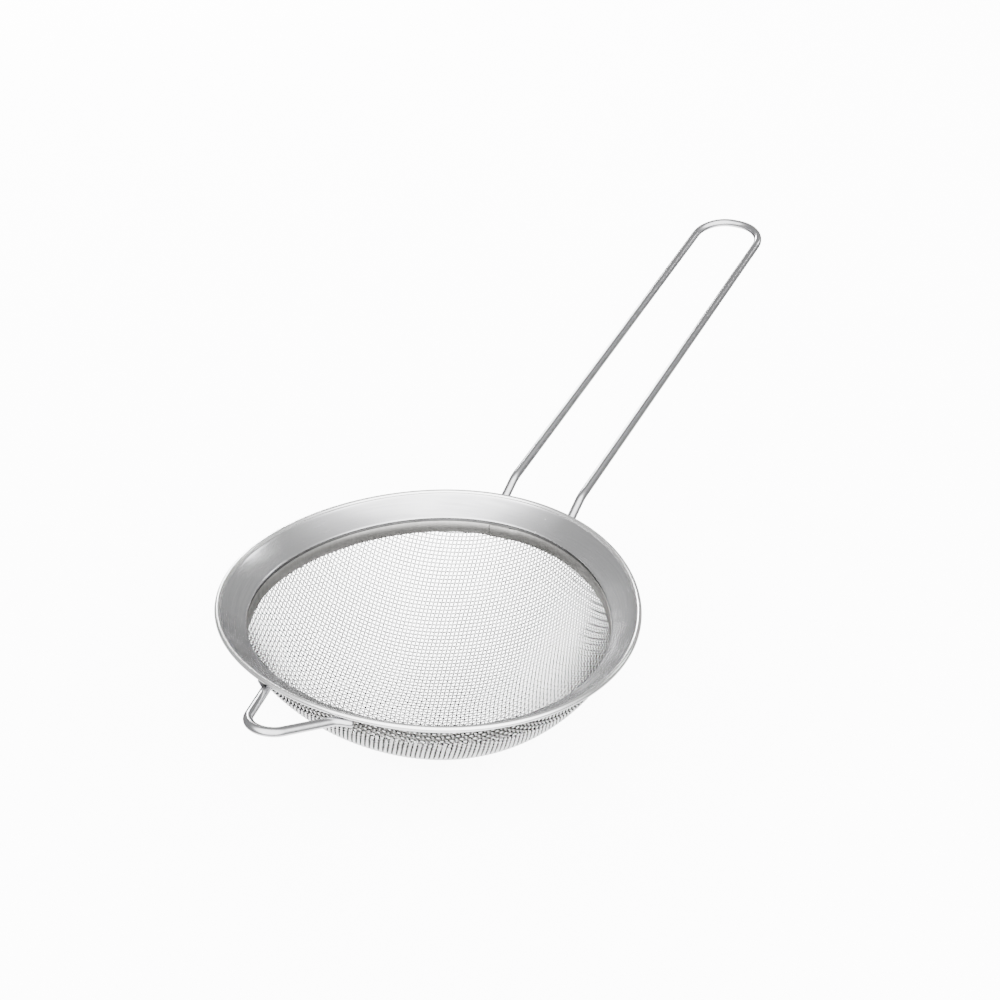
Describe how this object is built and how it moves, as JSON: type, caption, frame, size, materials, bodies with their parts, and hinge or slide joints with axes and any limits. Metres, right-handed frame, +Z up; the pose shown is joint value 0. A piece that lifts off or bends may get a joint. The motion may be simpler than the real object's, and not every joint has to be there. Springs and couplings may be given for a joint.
{
  "type": "tea strainer",
  "caption": "Handheld tea strainer: a bowl of woven wire cloth clamped in a coned steel rim, with a long wire loop handle and a wire rest opposite, to sit over a cup.",
  "frame": {"origin": "centre of the circle that the rolled edge follows, at the mount named bowl_axis", "axes": "+Z up along the bowl's axis, +X along the handle away from the bowl, +Y across it"},
  "size_m": [0.1934, 0.08, 0.0603],
  "materials": {
    "rim_steel": "polished stainless steel with faint wiping marks",
    "band_steel": "dull rolled stainless steel strip",
    "woven_cloth": "plain woven bright stainless wire",
    "bright_wire": "polished drawn stainless wire",
    "weld_steel": "dull heat-tinted spot weld"
  },
  "bodies": {
    "strainer": {"rim_flange": "rim_steel", "clamp_band": "band_steel", "mesh_basket": "woven_cloth", "handle_wire": "bright_wire", "rest_wire": "bright_wire", "handle_weld_left": "weld_steel", "handle_weld_right": "weld_steel", "rest_weld_left": "weld_steel", "rest_weld_right": "weld_steel"}
  },
  "joints": []
}
